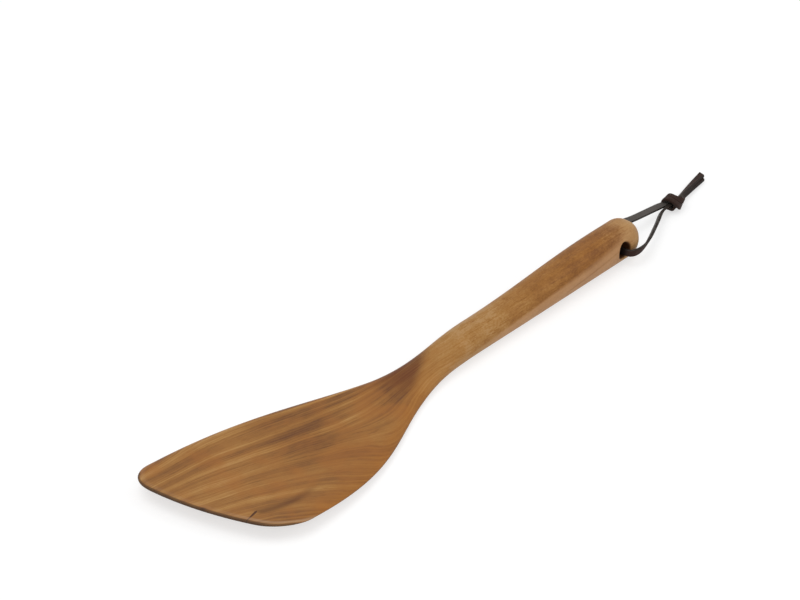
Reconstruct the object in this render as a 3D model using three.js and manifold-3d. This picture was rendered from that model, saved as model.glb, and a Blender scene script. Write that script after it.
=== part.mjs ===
// A wooden kitchen turner with a leather hanging lace.
//
// Millimetres, +Z up. The turner lies on its underside on z = 0, its grip along +X and its blade
// along -X. The blade's front edge is slanted: its long side is at +Y and its short side at -Y.
// The origin is on the table, under the middle of the wooden body.

import * as THREE from 'three';
import { mergeVertices } from 'three/addons/utils/BufferGeometryUtils.js';
import Module from 'manifold-3d';

// Wooden body, along its axis: grip, then shoulder, then front
const GRIP_LENGTH = 141; // rounded end to the narrowest place of the neck
const SHOULDER_LENGTH = 134.5; // neck to the widest place of the blade
const FRONT_LENGTH = 18.5; // widest place to the middle of the front edge

// Wooden body, seen from above
const GRIP_WIDTH = 19.6;
const NECK_WIDTH = 17;
const BLADE_WIDTH = 76;
const SHOULDER_EASE_AT_NECK = 46; // how far the neck's straight line leads the shoulder's curve
const SHOULDER_EASE_AT_BLADE = 66;
const CORNER_RADIUS = 12.4;
const FRONT_SLANT = THREE.MathUtils.degToRad(17.4); // front edge against a square cut
const FRONT_EDGE_RADIUS = 143; // the slanted front edge is a shallow arc

// Wooden body, seen from the side
const GRIP_HEIGHT = 20;
const NECK_HEIGHT = 14.8;
const BLADE_THICKNESS = 4.8; // at the heel
const FRONT_THICKNESS = 1.6;
const SLOPE_BEFORE_NECK = 19; // the top starts to fall to the blade this far before the neck
const SLOPE_LENGTH = 58;
const HEEL_AFTER_NECK = 29; // the underside is flat up to the heel and lifts beyond it
const FRONT_LIFT = 7.5;

// Wooden body, roundings
const END_ROUND = 10; // length of the grip's domed end
const GRIP_FULL_FROM_END = 20; // the grip tapers from here to the neck
const GRIP_FLAT = 3; // width of the flat along the grip's top and underside
const EDGE_ROUND = 4.5; // width of the rounded edge along the blade's sides
const NOSE_ROUND = 0.5; // radius of the front edge's two roundings

// Hole across the grip, for the lace
const HOLE_FROM_END = 17.5;
const HOLE_DIAMETER = 8.5;
const MOUTH_ROUND = 1.3;

// Leather lace
const LACE_WIDTH = 3.5;
const LACE_THICKNESS = 1.5;
const LACE_EDGE_CUT = 0.3; // the lace's long edges are broken by this much
const MESH_GAP = 0.3; // between solids that touch on the real turner
const LACE_IN_HOLE = [1.3, -1.5]; // along the grip and up, from the middle of the hole
const TAIL_LEAN = THREE.MathUtils.degToRad(55); // of the tails' width from upright

// Routes of the lace from the middle of the hole to the middle of the knot, then along the tails.
// Points are [along the grip, across, up] from the middle of the hole.
const SIDE = GRIP_WIDTH / 2;
const [PULL, DROP] = LACE_IN_HOLE;
const SHORT_SIDE_ROUTE = [
  [PULL, -0.5 * MESH_GAP, DROP],
  [PULL, -5, DROP],
  [PULL + 0.2, -SIDE + 1, DROP],
  [PULL + 1.2, -SIDE - 1, DROP - 0.3],
  [4.5, -SIDE - 2.1, -2],
  [7.4, -SIDE - 2.5, -2.2],
  [11.2, -SIDE - 2.2, -2.4],
  [15.3, -11, -2.6],
  [19.8, -9.4, -2.9],
  [26.2, -6.7, -3.3],
  [38.5, -1.1, -4.1],
  [49.2, 3.9, -4.8],
  [55.5, 5.4, -5.2],
  [62, 5.8, -5.5],
];
const LONG_SIDE_ROUTE = [
  [PULL, 0.5 * MESH_GAP, DROP],
  [PULL, 5, DROP],
  [PULL + 0.2, SIDE - 1, DROP],
  [PULL + 1.2, SIDE + 1, DROP],
  [4.8, SIDE + 2.4, -1.6],
  [9, SIDE + 3, -1.7],
  [14, SIDE + 2.5, -1.6],
  [20, SIDE + 0.9, -1.6],
  [28, 8.6, -1.8],
  [36, 8, -2.4],
  [44, 7.9, -3.2],
  [52, 7.9, -4.2],
  [57, 7.8, -4.8],
  [62, 7.9, -5.1],
];
const KNOT_MIDDLE = [62.7, 6.4, -5.5];
const KNOT_HEADING = THREE.MathUtils.degToRad(12); // the knot's length against the grip
const LONG_TAIL_ROUTE = [
  [64, 6.3, -5.35],
  [70, 7.6, -6],
  [78.4, 9.7, -6.7],
  [84.9, 11.1, -6.85],
  [91, 12.2, -6.85],
  [98.6, 13.6, -6.85],
];
const SHORT_TAIL_ROUTE = [
  [64, 5.3, -6.85],
  [70, 6.55, -7.5],
  [78.4, 8.65, -8.2],
  [84.9, 10.05, -8.35],
  [91, 11.15, -8.35],
  [97, 12.25, -8.35],
];

// Knot: a tight core with two flat turns of the lace crossing over it
const KNOT_LENGTH = 12.4;
const KNOT_CORE_WIDTH = 6.4;
const KNOT_CORE_HEIGHT = 5.6;
const KNOT_TURN_RADIUS = 3.7; // to the middle of the lace in a turn
const KNOT_TURN_TILT = THREE.MathUtils.degToRad(34);
const KNOT_TURN_SPACING = 2.6;
const KNOT_STUB = 7.6; // length of each end of lace that belongs to the knot, from its middle

// How finely the solids are faceted
const EDGE_STEPS = 8; // round one side of a section
const FLAT_STEPS = 6; // across a section's flat top
const STATION_STEP = 5;
const CORNER_STEPS = 10;
const DOME_STEPS = 8;
const DOME_TIP = 0.6; // share of a step that stays flat at the dome's tip
const HOLE_SIDES = 40;
const LACE_STEP = 2.6;
const MOUTH_STEPS = 5;
const KNOT_SIDES = 20;
const TURN_SIDES = 8;

const wasm = await Module();
wasm.setup();

const wood = new THREE.MeshStandardMaterial({ color: 0x9a6a3c, roughness: 0.55, metalness: 0 });
const leather = new THREE.MeshStandardMaterial({ color: 0x38302b, roughness: 0.8, metalness: 0 });

// Booleans between closed meshes

function toSolid(geometry) {
  const bare = geometry.clone();
  bare.deleteAttribute('normal');
  bare.deleteAttribute('uv');
  const merged = mergeVertices(bare, 1e-4);
  const mesh = new wasm.Mesh({
    numProp: 3,
    vertProperties: new Float32Array(merged.attributes.position.array),
    triVerts: new Uint32Array(merged.index.array),
  });
  return new wasm.Manifold(mesh);
}

function toGeometry(solid) {
  const mesh = solid.getMesh();
  const geometry = new THREE.BufferGeometry();
  geometry.setAttribute('position', new THREE.BufferAttribute(mesh.vertProperties, 3));
  geometry.setIndex(new THREE.BufferAttribute(mesh.triVerts, 1));
  geometry.computeVertexNormals();
  return geometry;
}

// Profiles along the body: every distance is measured from the grip's rounded end

const NECK = GRIP_LENGTH;
const WIDEST = NECK + SHOULDER_LENGTH;
const REACH = WIDEST + FRONT_LENGTH;
const SLOPE_START = NECK - SLOPE_BEFORE_NECK;
const SLOPE_END = SLOPE_START + SLOPE_LENGTH;
const HEEL = NECK + HEEL_AFTER_NECK;

// A smooth step from one value to another, level at both ends
function smoothStep(start, startValue, end, endValue, easeStart, easeEnd) {
  const curve = new THREE.CubicBezierCurve(
    new THREE.Vector2(start, startValue),
    new THREE.Vector2(start + easeStart, startValue),
    new THREE.Vector2(end - easeEnd, endValue),
    new THREE.Vector2(end, endValue),
  );
  return (distance) => {
    if (distance <= start) return startValue;
    if (distance >= end) return endValue;
    let low = 0;
    let high = 1;
    for (let i = 0; i < 40; i++) {
      const middle = (low + high) / 2;
      if (curve.getPoint(middle).x < distance) low = middle;
      else high = middle;
    }
    return curve.getPoint(low).y;
  };
}

const EVEN_EASE = 0.4; // share of a step that eases in, and that eases out

function evenStep(start, startValue, end, endValue) {
  const ease = EVEN_EASE * (end - start);
  return smoothStep(start, startValue, end, endValue, ease, ease);
}

const gripHalfWidth = evenStep(GRIP_FULL_FROM_END, GRIP_WIDTH / 2, NECK, NECK_WIDTH / 2);
const bladeHalfWidth = smoothStep(
  NECK, NECK_WIDTH / 2, WIDEST, BLADE_WIDTH / 2, SHOULDER_EASE_AT_NECK, SHOULDER_EASE_AT_BLADE,
);
const gripHalfHeight = evenStep(GRIP_FULL_FROM_END, GRIP_HEIGHT / 2, SLOPE_START, NECK_HEIGHT / 2);
const slopeHalfHeight = evenStep(SLOPE_START, NECK_HEIGHT / 2, SLOPE_END, BLADE_THICKNESS / 2);
const bladeShare = evenStep(SLOPE_START, 0, SLOPE_END, 1);

function quarterRound(depth, length) {
  const share = THREE.MathUtils.clamp(1 - depth / length, 0, 1);
  return Math.sqrt(1 - share * share);
}

function sectionAt(distance) {
  const dome = quarterRound(distance, END_ROUND);
  const corner = quarterRound(REACH - distance, CORNER_RADIUS);
  const nose = quarterRound(REACH - distance, NOSE_ROUND);
  const thinning = THREE.MathUtils.clamp((distance - SLOPE_END) / (REACH - SLOPE_END), 0, 1);

  const fullWidth = distance < NECK ? gripHalfWidth(distance) : bladeHalfWidth(distance);
  const fullHeight = distance < SLOPE_START ? gripHalfHeight(distance) : slopeHalfHeight(distance);
  const height = fullHeight + thinning * (FRONT_THICKNESS - BLADE_THICKNESS) / 2;
  const gripEdge = fullWidth - GRIP_FLAT / 2;
  const edge = THREE.MathUtils.lerp(gripEdge, EDGE_ROUND, bladeShare(distance));

  const past = Math.max(0, distance - HEEL) / (REACH - HEEL);
  const slantShare = THREE.MathUtils.smoothstep(distance, 0, REACH);
  return {
    halfWidth: fullWidth * dome - CORNER_RADIUS * (1 - corner),
    halfHeight: height * dome - NOSE_ROUND * (1 - nose),
    edge: edge * dome,
    middle: height + FRONT_LIFT * past * past,
    slant: Math.tan(FRONT_SLANT) * slantShare,
    bow: slantShare / (2 * FRONT_EDGE_RADIUS),
  };
}

// Outline of one section: up the short side, over the top, down the long side and back underneath.
// The upper half has this many points from one side to the other.
const HALF_RING = EDGE_STEPS + FLAT_STEPS;

function sectionRing(distance) {
  const s = sectionAt(distance);
  const flat = s.halfWidth - s.edge;
  const upper = [];
  for (let i = 0; i <= HALF_RING; i++) {
    const onShortEdge = Math.min(i, EDGE_STEPS / 2);
    const onLongEdge = Math.max(0, i - EDGE_STEPS / 2 - FLAT_STEPS);
    const onFlat = i - onShortEdge - onLongEdge;
    const angle = (Math.PI * (onShortEdge + onLongEdge)) / EDGE_STEPS;
    const across = -s.edge * Math.cos(angle) + flat * (2 * onFlat / FLAT_STEPS - 1);
    upper.push([across, s.halfHeight * Math.sin(angle)]);
  }
  const lower = upper.slice(1, -1).reverse().map(([across, up]) => [across, -up]);
  return [...upper, ...lower].map(([across, up]) => new THREE.Vector3(
    -(distance + s.slant * across - s.bow * across * across),
    across,
    s.middle + up,
  ));
}

function stationDistances() {
  const stations = [];
  for (let i = 1; i <= DOME_STEPS; i++) {
    const share = (i - DOME_TIP) / (DOME_STEPS - DOME_TIP);
    stations.push(END_ROUND * (1 - Math.cos((Math.PI / 2) * share)));
  }
  const cornerStart = REACH - CORNER_RADIUS;
  const steps = Math.round((cornerStart - END_ROUND) / STATION_STEP);
  for (let i = 1; i < steps; i++) {
    stations.push(END_ROUND + (i / steps) * (cornerStart - END_ROUND));
  }
  for (let i = 0; i <= CORNER_STEPS; i++) {
    stations.push(cornerStart + CORNER_RADIUS * Math.sin((Math.PI / 2) * (i / CORNER_STEPS)));
  }
  return stations;
}

function bodyLoft() {
  const rings = stationDistances().map(sectionRing);
  const count = rings[0].length;
  const positions = rings.flat().flatMap((p) => [p.x, p.y, p.z]);
  const triangles = [];
  for (let r = 0; r + 1 < rings.length; r++) {
    for (let i = 0; i < count; i++) {
      const a = r * count + i;
      const b = r * count + (i + 1) % count;
      triangles.push(a, b, a + count, b, b + count, a + count);
    }
  }
  // Each end ring is closed by a strip between its upper and lower halves
  const closeEnd = (first, outward) => {
    for (let i = 0; i < HALF_RING; i++) {
      const corners = [i, i + 1, (count - i - 1) % count, (count - i) % count].map((k) => first + k);
      const [a, b, c, d] = outward ? corners : corners.reverse();
      if (c !== b) triangles.push(a, b, c);
      if (d !== a && c !== d) triangles.push(a, c, d);
    }
  };
  closeEnd(0, false);
  closeEnd((rings.length - 1) * count, true);
  const geometry = new THREE.BufferGeometry();
  geometry.setAttribute('position', new THREE.Float32BufferAttribute(positions, 3));
  geometry.setIndex(triangles);
  return geometry;
}

const HOLE_MIDDLE = new THREE.Vector3(-HOLE_FROM_END, 0, sectionAt(HOLE_FROM_END).middle);

// The hole and its two rounded mouths, as one turned cutter lying across the grip
function holeCutter() {
  const radius = HOLE_DIAMETER / 2;
  const wall = sectionAt(HOLE_FROM_END).halfWidth;
  const profile = [new THREE.Vector2(0, 0), new THREE.Vector2(radius, 0)];
  for (let i = 0; i <= MOUTH_STEPS; i++) {
    const angle = (Math.PI / 2) * (i / MOUTH_STEPS);
    profile.push(new THREE.Vector2(
      radius + MOUTH_ROUND * (1 - Math.cos(angle)),
      wall - MOUTH_ROUND + MOUTH_ROUND * Math.sin(angle),
    ));
  }
  profile.push(new THREE.Vector2(radius + MOUTH_ROUND, wall + MOUTH_ROUND));
  profile.push(new THREE.Vector2(0, wall + MOUTH_ROUND));
  const half = new THREE.LatheGeometry(profile, HOLE_SIDES);
  const cutter = toSolid(half).add(toSolid(half.clone().rotateZ(Math.PI)));
  return toSolid(toGeometry(cutter).translate(...HOLE_MIDDLE.toArray()));
}

function woodenBody() {
  return toGeometry(toSolid(bodyLoft()).subtract(holeCutter()));
}

// Lace

function routeCurve(route) {
  const points = route.map((p) => new THREE.Vector3(...p).add(HOLE_MIDDLE));
  return new THREE.CatmullRomCurve3(points, false, 'centripetal');
}

// The strands stand on edge and the tails lean: a section's x is upright and its y is level
function laceSection(lean) {
  const w = LACE_WIDTH / 2;
  const t = LACE_THICKNESS / 2;
  const cut = LACE_EDGE_CUT;
  const middle = new THREE.Vector2(0, 0);
  return new THREE.Shape([
    [w, -t + cut], [w, t - cut], [w - cut, t], [-w + cut, t],
    [-w, t - cut], [-w, -t + cut], [-w + cut, -t], [w - cut, -t],
  ].map(([x, y]) => new THREE.Vector2(x, y).rotateAround(middle, lean)));
}

const ON_EDGE = laceSection(0);
const LEANING = laceSection(TAIL_LEAN);

// Flat lace along a stretch of a route, from one length along it to another
function laceStretch(route, section, from, to) {
  const curve = routeCurve(route);
  const steps = Math.max(2, Math.round((to - from) / LACE_STEP));
  const points = [];
  for (let i = 0; i <= steps; i++) {
    const length = THREE.MathUtils.lerp(from, to, i / steps);
    points.push(curve.getPointAt(length / curve.getLength()));
  }
  const extrudePath = new THREE.CatmullRomCurve3(points, false, 'centripetal');
  return new THREE.ExtrudeGeometry(section, { steps, extrudePath, bevelEnabled: false });
}

function routeLength(route) {
  return routeCurve(route).getLength();
}

const stubStart = (route) => routeLength(route) - KNOT_STUB;

function strand(route) {
  return laceStretch(route, ON_EDGE, 0, stubStart(route) - MESH_GAP);
}

function tail(route) {
  return laceStretch(route, LEANING, KNOT_STUB + MESH_GAP, routeLength(route));
}

// One turn of the lace round the knot, leaning to one side or the other
function knotTurn(side) {
  const turn = new THREE.TorusGeometry(KNOT_TURN_RADIUS, LACE_THICKNESS / 2, TURN_SIDES, KNOT_SIDES);
  turn.scale(1, 1, LACE_WIDTH / LACE_THICKNESS);
  turn.rotateY(Math.PI / 2);
  turn.rotateZ(side * KNOT_TURN_TILT);
  turn.translate(side * KNOT_TURN_SPACING / 2, 0, 0);
  return turn;
}

function knot() {
  const core = new THREE.SphereGeometry(1, KNOT_SIDES, KNOT_SIDES / 2);
  core.scale(KNOT_LENGTH / 2, KNOT_CORE_WIDTH / 2, KNOT_CORE_HEIGHT / 2);
  const lump = [core, knotTurn(1), knotTurn(-1)].map((piece) => {
    piece.rotateZ(KNOT_HEADING);
    piece.translate(...new THREE.Vector3(...KNOT_MIDDLE).add(HOLE_MIDDLE).toArray());
    return toSolid(piece);
  });
  const stubs = [
    ...[SHORT_SIDE_ROUTE, LONG_SIDE_ROUTE].map(
      (route) => laceStretch(route, ON_EDGE, stubStart(route), routeLength(route)),
    ),
    ...[LONG_TAIL_ROUTE, SHORT_TAIL_ROUTE].map((route) => laceStretch(route, LEANING, 0, KNOT_STUB)),
  ].map(toSolid);
  return toGeometry([...lump, ...stubs].reduce((whole, piece) => whole.add(piece)));
}

// Assembly

function named(name, geometry, material) {
  const mesh = new THREE.Mesh(geometry, material);
  mesh.name = name;
  return mesh;
}

const body = named('wooden_body', woodenBody(), wood);
const lace = new THREE.Group();
lace.add(
  named('lace_strand_short_side', strand(SHORT_SIDE_ROUTE), leather),
  named('lace_strand_long_side', strand(LONG_SIDE_ROUTE), leather),
  named('lace_knot', knot(), leather),
  named('lace_tail_long', tail(LONG_TAIL_ROUTE), leather),
  named('lace_tail_short', tail(SHORT_TAIL_ROUTE), leather),
);

const turner = new THREE.Group();
turner.add(body, lace);
const bodyBox = new THREE.Box3().setFromObject(body);
turner.position.x = -(bodyBox.min.x + bodyBox.max.x) / 2;

export default turner;
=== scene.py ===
"""A wooden turner with a leather hanging lace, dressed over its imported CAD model.

Sizes are in millimetres until a mesh is made, then metres. The grip points along +X, the blade
along -X, and the turner lies on z = 0. The wooden body repeats the CAD's sections at a finer step,
with rounded mouths to its hole. The lace repeats the CAD's routes, as flat leather that turns as it
runs.
"""

import math
from collections import namedtuple

import bmesh
import bpy
import numpy as np
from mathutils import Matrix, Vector


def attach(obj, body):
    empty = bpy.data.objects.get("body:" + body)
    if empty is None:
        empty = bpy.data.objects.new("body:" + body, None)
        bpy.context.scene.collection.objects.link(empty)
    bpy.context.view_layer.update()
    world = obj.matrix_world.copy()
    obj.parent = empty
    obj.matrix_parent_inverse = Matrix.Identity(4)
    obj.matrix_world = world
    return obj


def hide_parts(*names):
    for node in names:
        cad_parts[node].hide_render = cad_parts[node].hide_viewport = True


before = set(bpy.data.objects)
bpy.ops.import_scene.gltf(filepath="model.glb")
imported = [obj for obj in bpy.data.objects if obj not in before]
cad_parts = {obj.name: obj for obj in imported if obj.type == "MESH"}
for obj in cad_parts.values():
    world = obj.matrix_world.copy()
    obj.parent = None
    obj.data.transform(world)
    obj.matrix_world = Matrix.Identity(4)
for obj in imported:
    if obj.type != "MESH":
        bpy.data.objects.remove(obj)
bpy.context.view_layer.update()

MM = 0.001

# Wooden body, along its axis from the grip's rounded end
TIP_X = 149.93  # where the rounded end is in the shared frame
NECK = 141.0
WIDEST = 275.5
REACH = 294.0
SLOPE_START = 122.0
SLOPE_END = 180.0
HEEL = 170.0

# Wooden body, across and upright
GRIP_WIDTH = 19.6
NECK_WIDTH = 17.0
BLADE_WIDTH = 76.0
SHOULDER_EASE_AT_NECK = 46.0
SHOULDER_EASE_AT_BLADE = 66.0
CORNER_RADIUS = 12.4
FRONT_SLANT = math.radians(17.4)
FRONT_EDGE_RADIUS = 143.0
GRIP_HEIGHT = 20.0
NECK_HEIGHT = 14.8
BLADE_THICKNESS = 4.8
FRONT_THICKNESS = 1.6
FRONT_LIFT = 7.5

# Wooden body, roundings
END_ROUND = 10.0
GRIP_FULL_FROM_END = 20.0
GRIP_FLAT = 3.0
EDGE_ROUND = 4.5
NOSE_ROUND = 0.5
EVEN_EASE = 0.4  # share of a change of width or height over which each of its ends eases

# Hole across the grip
HOLE_FROM_END = 17.5
HOLE_X = TIP_X - HOLE_FROM_END
HOLE_RADIUS = 4.25
HOLE_HEIGHT = 10.0
MOUTH_ROUND = 1.3
MOUTH_RIM = HOLE_RADIUS + MOUTH_ROUND
MOUTH_LEAD = 0.55 * MOUTH_ROUND  # how far the rounding is drawn along the side and along the bore

# Leather lace
LACE_WIDTH = 3.6
LACE_THICKNESS = 1.4
LACE_EDGE_ROUND = 0.3
LACE_EDGE_STEPS = 3
LACE_STEP = 0.5  # between sections along a run of lace

# How finely the body is meshed
CURVE_STEPS = 1200  # points of a curve of widths or heights
DOME_STEPS = 24
HOLE_STEP = 1.0
STATION_STEP = 1.6
CORNER_STEPS = 28
EDGE_STEPS = 12  # a quarter of the way round a section
FLAT_STEPS = 24  # across a section's flat
HOLE_WINDOW = 7.5  # half the length of the stretch that is meshed around the hole
HOLE_WINDOW_EDGE_STEPS = 6
PATCH_RINGS = 6
MOUTH_STEPS = 8
BORE_STEPS = 5


# Node helpers


def plug(tree, socket, value):
    """Links a socket to another node's output, or sets its value."""
    if isinstance(value, bpy.types.NodeSocket):
        tree.links.new(value, socket)
    else:
        socket.default_value = value


def add(tree, kind, inputs=None, **settings):
    """A new node with its settings, and with its inputs linked or set by name or by number."""
    node = tree.nodes.new(kind)
    for name, value in settings.items():
        setattr(node, name, value)
    for name, value in (inputs or {}).items():
        plug(tree, node.inputs[name], value)
    return node


def maths(tree, operation, *values):
    return add(tree, "ShaderNodeMath", dict(enumerate(values)), operation=operation).outputs[0]


def linear(tree, value, factor, offset):
    """A value times a factor, plus an offset."""
    return maths(tree, "MULTIPLY_ADD", value, factor, offset)


def minus(tree, value, other):
    return maths(tree, "SUBTRACT", value, other)


def times(tree, vector, scales):
    """A vector with each of its axes scaled."""
    node = add(tree, "ShaderNodeVectorMath", {0: vector, 1: scales}, operation="MULTIPLY")
    return node.outputs["Vector"]


def combine(tree, x, y, z):
    return add(tree, "ShaderNodeCombineXYZ", {"X": x, "Y": y, "Z": z}).outputs[0]


def axes(tree, vector):
    return add(tree, "ShaderNodeSeparateXYZ", {"Vector": vector}).outputs


def noise(tree, vector, scale, detail=2.0, roughness=0.5):
    inputs = {"Vector": vector, "Scale": scale, "Detail": detail, "Roughness": roughness}
    return add(tree, "ShaderNodeTexNoise", inputs).outputs["Fac"]


def remap(tree, value, low, high, to_low=0.0, to_high=1.0):
    """A value's range eased onto another range, and held at its ends."""
    inputs = dict(enumerate((value, low, high, to_low, to_high)))
    node = add(tree, "ShaderNodeMapRange", inputs, interpolation_type="SMOOTHSTEP")
    return node.outputs["Result"]


def ramp(tree, value, stops, interpolation="LINEAR"):
    node = add(tree, "ShaderNodeValToRGB", {"Fac": value})
    node.color_ramp.interpolation = interpolation
    elements = node.color_ramp.elements
    while len(elements) < len(stops):
        elements.new(1.0)
    for element, (position, colour) in zip(elements, stops):
        element.position = position
        element.color = rgba(colour)
    return node.outputs["Color"]


def rgba(colour):
    """A link as it is, or a plain colour with its alpha."""
    return colour if isinstance(colour, bpy.types.NodeSocket) else (*colour, 1.0)


def mix(tree, share, first, second, blend="MIX"):
    inputs = {"Factor": share, "A": rgba(first), "B": rgba(second)}
    node = add(tree, "ShaderNodeMix", inputs, data_type="RGBA", blend_type=blend)
    return node.outputs["Result"]


def mix_values(tree, share, first, second):
    inputs = {"Factor": share, "A": first, "B": second}
    return add(tree, "ShaderNodeMix", inputs, data_type="FLOAT").outputs["Result"]


def bell(tree, value, centre, width):
    """1 at the centre, falling to 0 as a bell of that width."""
    off = maths(tree, "DIVIDE", minus(tree, value, centre), width)
    return maths(tree, "EXPONENT", product(tree, off, off, -1.0))


def product(tree, first, *others):
    for other in others:
        first = maths(tree, "MULTIPLY", first, other)
    return first


def swung(tree, value, swing, amount):
    """A value that a tone from 0 to 1 moves down and up about where it is."""
    return linear(tree, minus(tree, swing, 0.5), amount, value)


def horner(tree, value, coefficients):
    """A polynomial of a value. Its coefficients go from the lowest power up, and may be sockets."""
    total = coefficients[-1]
    for coefficient in reversed(coefficients[:-1]):
        total = linear(tree, total, value, coefficient)
    return total


def stored_value(tree, name, output="Fac"):
    """A number or a vector that the mesh keeps with its points."""
    return add(tree, "ShaderNodeAttribute", attribute_name=name).outputs[output]


def new_material(name):
    material = bpy.data.materials.new(name)
    material.use_nodes = True
    tree = material.node_tree
    return material, tree, tree.nodes["Principled BSDF"]


def finish(tree, shader, colour, rough, gloss, height, strength, depth):
    """Gives a shader its colour, roughness and gloss, and a relief of that strength and depth."""
    relief = {"Height": height, "Strength": strength, "Distance": depth * MM}
    normal = add(tree, "ShaderNodeBump", relief).outputs["Normal"]
    looks = {"Base Color": colour, "Roughness": rough, "Specular IOR Level": gloss}
    for name, value in {**looks, "Normal": normal}.items():
        plug(tree, shader.inputs[name], value)


def object_millimetres(tree):
    place = add(tree, "ShaderNodeTexCoord").outputs["Object"]
    return times(tree, place, (1 / MM, 1 / MM, 1 / MM))


def new_group(name, kind, inputs, output, output_kind):
    """A node group with its sockets, each by name and kind, and its inputs as seen inside it."""
    group = bpy.data.node_groups.new(name, kind)
    sides = [(*socket, "INPUT") for socket in inputs.items()] + [(output, output_kind, "OUTPUT")]
    for socket, socket_kind, side in sides:
        group.interface.new_socket(socket, in_out=side, socket_type="NodeSocket" + socket_kind)
    return group, group.nodes.new("NodeGroupInput").outputs


def uneven_tone_group():
    """Slow drifts of tone with finer mottling in them, for wood and for leather."""
    scales = dict.fromkeys(("Drift Scale", "Mottle Scale", "Mottle Share"), "Float")
    inputs = {"Vector": "Vector", **scales}
    group, inside = new_group("uneven_tone", "ShaderNodeTree", inputs, "Tone", "Float")
    drift = noise(group, inside["Vector"], inside["Drift Scale"], detail=1.5)
    mottle = noise(group, inside["Vector"], inside["Mottle Scale"], detail=3.0, roughness=0.6)
    tone = mix_values(group, inside["Mottle Share"], drift, mottle)
    group.links.new(tone, group.nodes.new("NodeGroupOutput").inputs["Tone"])
    return group


UNEVEN_TONE = uneven_tone_group()


def uneven_tone(tree, vector, drift_scale, mottle_scale, mottle_share):
    inputs = dict(enumerate((vector, drift_scale, mottle_scale, mottle_share)))
    return add(tree, "ShaderNodeGroup", inputs, node_tree=UNEVEN_TONE).outputs["Tone"]


# Oiled wood

# Its colours by tone, from dark to bright, and its tone before any change
WOOD_COLOURS = [
    (0.0, (0.082, 0.025, 0.005)),
    (0.3, (0.178, 0.067, 0.012)),
    (0.58, (0.278, 0.118, 0.023)),
    (0.82, (0.367, 0.178, 0.044)),
    (1.0, (0.440, 0.238, 0.082)),
]
WOOD_TONE = 0.56
WOOD_GLOSS = 0.25
WOOD_ROUGHNESS = 0.48
WOOD_RELIEF = (0.35, 0.05)  # strength and depth

# Colours of its own places, and of the light and shade painted on it
WARM_WOOD = (0.330, 0.118, 0.018)
SHORT_EDGE_WOOD = (0.340, 0.118, 0.012)
GRIP_TINT = (1.0, 1.19, 1.5)
# Painted bounce light: paler low on the grip's sides, where light from the floor falls
FLANK_PAINTED_LIGHT = ((0.34, 0.165, 0.062), (0.54, 0.300, 0.136))
# Paler rounded end: partly drier end grain, partly painted light
DRY_AND_LIT_END = (0.455, 0.275, 0.118)
# Painted shade where the rounded end falls away from the light
TIP_SHADE = (0.250, 0.145, 0.070)
HEART_WOOD = (0.094, 0.016, 0.0)
SMOKE_WOOD = (0.082, 0.020, 0.0)
SPLIT_WOOD = (0.060, 0.014, 0.0)
# Painted highlight along the rounded front edge, where it catches the light
EDGE_HIGHLIGHT = (0.400, 0.255, 0.150)
PIN_KNOT_WOOD = (0.060, 0.018, 0.006)
# Painted shade on the blade's rim, where it turns away from the top; at the front partly darker end
# grain
RIM_SHADE_WOOD = (0.044, 0.021, 0.008)
# Painted shade in the hole's bore
BORE_SHADE_WOOD = (0.034, 0.008, 0.001)

# Growth layers: their thickness, where the first begins, and the tone at shares of one
GROWTH_LAYER = 10.8
FIRST_LAYER = -0.476
LAYER_TONES = [
    (0.0, 0.33), (0.08, 0.31), (0.22, 0.46), (0.38, 0.70),
    (0.5, 0.64), (0.7, 0.53), (0.88, 0.42), (1.0, 0.33),
]

# Run of the growth layers' edges over the blade: polynomials of the distance along it, in units
# from a middle, for the powers of the distance across it
LINES_MIDDLE_X = -80.0
LINES_UNIT_ALONG = 60.0
LINES_UNIT_ACROSS = 30.0
LINES_CLIMB = [0.0, 0.774, -0.534, -0.069, 0.022]
LINES_SPREAD = [1.0, -0.885, 0.89, 0.197]
LINES_BEND = [-0.123, 0.557]
LINES_TWIST = -0.059
LINES_CROWDING = 0.69
LINES_BY_HEIGHT = 1.2

# Noises along the growth layers: scale across them and along them, shift, detail and roughness
SPACING_NOISE = (0.07, 0.003, 7.3, 1.0, 0.5)
FADING_NOISE = (0.1, 0.012, 3.9, 1.0, 0.5)
BANDS_NOISE = (0.06, 0.004, 0.0, 2.5, 0.6)
STREAK_NOISE = (1.0, 0.014, 2.1, 3.0, 0.6)
FINE_STREAK_NOISE = (2.4, 0.02, 5.6, 2.0, 0.6)
PORE_NOISE = (1.5, 0.16, 4.7, 2.0, 0.6)

# Uneven tones: stretch along the axes, scales of drift and mottle, and the mottle's share
DRIFT_TONE = ((0.5, 1.0, 1.0), 0.04, 0.45, 0.2)
MOTTLE_TONE = ((0.7, 1.0, 1.0), 0.16, 1.1, 0.5)

# Lines in the wood. A bowed line has its middle's x, its level there and its bow. The heart's sides
# are straight: shares of x and y, and an offset
SHORT_EDGE_LINE = (-116.0, -37.6, 0.00275)
SMOKE_LINE = (-109.0, -24.4, 0.0125)
SPLIT_FRONT_X = -136.0
SPLIT_LINE = [-21.0, 0.27]
FLANK_MIDDLE_X = 34.8
FLANK_HEIGHT = [8.8, 0.07, 0.00035]
HEART_BY_GRIP = (-0.447, 0.894, -3.86)
HEART_BY_BLADE = (-0.78, 0.625, -10.1)

# Points and tones of the wood that several of its finishes read
Grain = namedtuple("Grain", "place x y z depth streak mottle on_grip by_short_edge over_flank")


def bowed_line(tree, x, middle, level, bow):
    """Where a line that bows along the blade lies across it."""
    off = minus(tree, x, middle)
    return linear(tree, product(tree, off, off), bow, level)


def past_line(tree, x, y, line):
    """How far a point lies past a straight line, in millimetres."""
    share_x, share_y, offset = line
    return maths(tree, "ADD", linear(tree, x, share_x, product(tree, y, share_y)), offset)


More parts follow.
